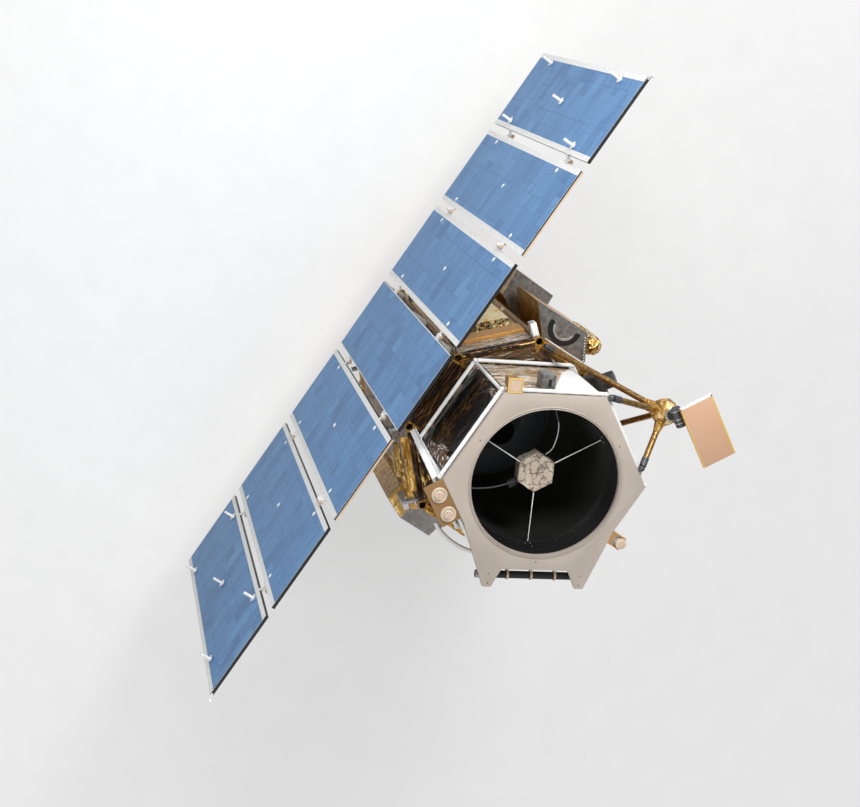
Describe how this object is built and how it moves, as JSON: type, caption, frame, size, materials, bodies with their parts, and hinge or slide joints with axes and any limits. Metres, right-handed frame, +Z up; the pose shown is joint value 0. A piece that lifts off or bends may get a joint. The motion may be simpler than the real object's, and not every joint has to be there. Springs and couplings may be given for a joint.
{
  "type": "earth imaging satellite",
  "caption": "Upright imaging satellite: hexagonal telescope shroud, octagonal foil-clad bus, folding solar wings and a gimballed antenna on a strut truss.",
  "frame": {"origin": "centre of the separation plane at the underside of the separation ring, on the telescope axis", "axes": "+Z up along the telescope axis towards the aperture, +X along the solar array, +Y from the axis towards the array"},
  "size_m": [5.648, 2.1121, 4.349],
  "materials": {
    "bare_aluminium": "satin",
    "gold_foil": "gloss",
    "dark_foil": "gloss",
    "gold_tube": "satin",
    "titanium": "satin",
    "radiator": "satin",
    "tan_plate": "matte",
    "white_paint": "matte",
    "black_paint": "matte",
    "mirror": "polished",
    "crumpled_foil": "satin",
    "grey_paint": "matte",
    "tan_face": "matte",
    "bronze_plate": "matte",
    "solar_cells": "gloss"
  },
  "bodies": {
    "satellite_body": {"separation_ring": "bare_aluminium", "adapter_cone": "gold_foil", "lower_deck": "gold_foil", "corner_tubes": "gold_tube", "side_walls": "gold_foil", "deck_beams": "gold_foil", "upper_deck": "dark_foil", "propellant_tank": "titanium", "thrusters": "titanium", "radiator_panels": "radiator", "front_plate": "tan_plate", "aperture_lip": "tan_plate", "shroud_panels": "dark_foil", "shroud_posts": "white_paint", "shroud_frames": "white_paint", "telescope_barrel": "black_paint", "baffle_rings": "black_paint", "primary_mirror": "mirror", "mirror_baffle": "black_paint", "spider_ring": "black_paint", "spider_vanes": "white_paint", "secondary_hub": "crumpled_foil", "right_equipment_box": "gold_foil", "right_radiator_box": "radiator", "foil_canister": "gold_foil", "left_equipment_box": "gold_foil", "star_tracker": "grey_paint", "sensor_bracket": "grey_paint", "patch_antenna": "tan_face", "antenna_shelf": "bronze_plate", "domed_antennas": "tan_face", "omni_antenna": "tan_face", "torque_rod": "black_paint", "torque_rod_clamps": "tan_plate", "handrail": "white_paint", "centre_panel": "solar_cells", "array_brackets": "white_paint", "root_hinges": "white_paint", "hold_down_cups": "bare_aluminium", "antenna_truss": "gold_tube", "truss_fittings": "bare_aluminium", "truss_hub": "gold_foil", "azimuth_drive": "bare_aluminium"},
    "wing_right_inner": {"inner_panel_right": "solar_cells", "inner_fittings_right": "white_paint"},
    "wing_right_middle": {"middle_panel_right": "solar_cells", "middle_fittings_right": "white_paint"},
    "wing_right_outer": {"outer_panel_right": "solar_cells", "outer_fittings_right": "white_paint"},
    "wing_left_inner": {"inner_panel_left": "solar_cells", "inner_fittings_left": "white_paint"},
    "wing_left_middle": {"middle_panel_left": "solar_cells", "middle_fittings_left": "white_paint"},
    "wing_left_outer": {"outer_panel_left": "solar_cells", "outer_fittings_left": "white_paint"},
    "antenna_azimuth": {"gimbal_yoke": "bare_aluminium"},
    "antenna_pointing": {"antenna_panel": "tan_face", "antenna_arm": "bare_aluminium"}
  },
  "joints": [
    {"name": "right_wing_fold", "type": "hinge", "parent": "satellite_body", "child": "wing_right_inner", "pos_m": [0.3775, 0.955, 2.3], "axis": [0, 0, 1], "range_deg": [-45, 0]},
    {"name": "right_middle_fold", "type": "hinge", "parent": "wing_right_inner", "child": "wing_right_middle", "pos_m": [1.1925, 0.9875, 2.3], "axis": [0, 0, 1], "range_deg": [0, 180]},
    {"name": "right_outer_fold", "type": "hinge", "parent": "wing_right_middle", "child": "wing_right_outer", "pos_m": [2.0075, 0.9225, 2.3], "axis": [0, 0, 1], "range_deg": [-180, 0]},
    {"name": "left_wing_fold", "type": "hinge", "parent": "satellite_body", "child": "wing_left_inner", "pos_m": [-0.3775, 0.955, 2.3], "axis": [0, 0, 1], "range_deg": [0, 45]},
    {"name": "left_middle_fold", "type": "hinge", "parent": "wing_left_inner", "child": "wing_left_middle", "pos_m": [-1.1925, 0.9875, 2.3], "axis": [0, 0, 1], "range_deg": [-180, 0]},
    {"name": "left_outer_fold", "type": "hinge", "parent": "wing_left_middle", "child": "wing_left_outer", "pos_m": [-2.0075, 0.9225, 2.3], "axis": [0, 0, 1], "range_deg": [0, 180]},
    {"name": "antenna_turn", "type": "hinge", "parent": "satellite_body", "child": "antenna_azimuth", "pos_m": [0.91786, -0.52992, 4.207], "axis": [0, 0, 1], "range_deg": [-30, 90]},
    {"name": "antenna_tilt", "type": "hinge", "parent": "antenna_azimuth", "child": "antenna_pointing", "pos_m": [0.93951, -0.54242, 4.257], "axis": [0.5, 0.866, 0], "range_deg": [-60, 60]}
  ],
  "couplings": [
    {"joint": "right_middle_fold", "follows": "right_wing_fold", "ratio": -4},
    {"joint": "right_outer_fold", "follows": "right_wing_fold", "ratio": 4},
    {"joint": "left_middle_fold", "follows": "left_wing_fold", "ratio": -4},
    {"joint": "left_outer_fold", "follows": "left_wing_fold", "ratio": 4}
  ]
}
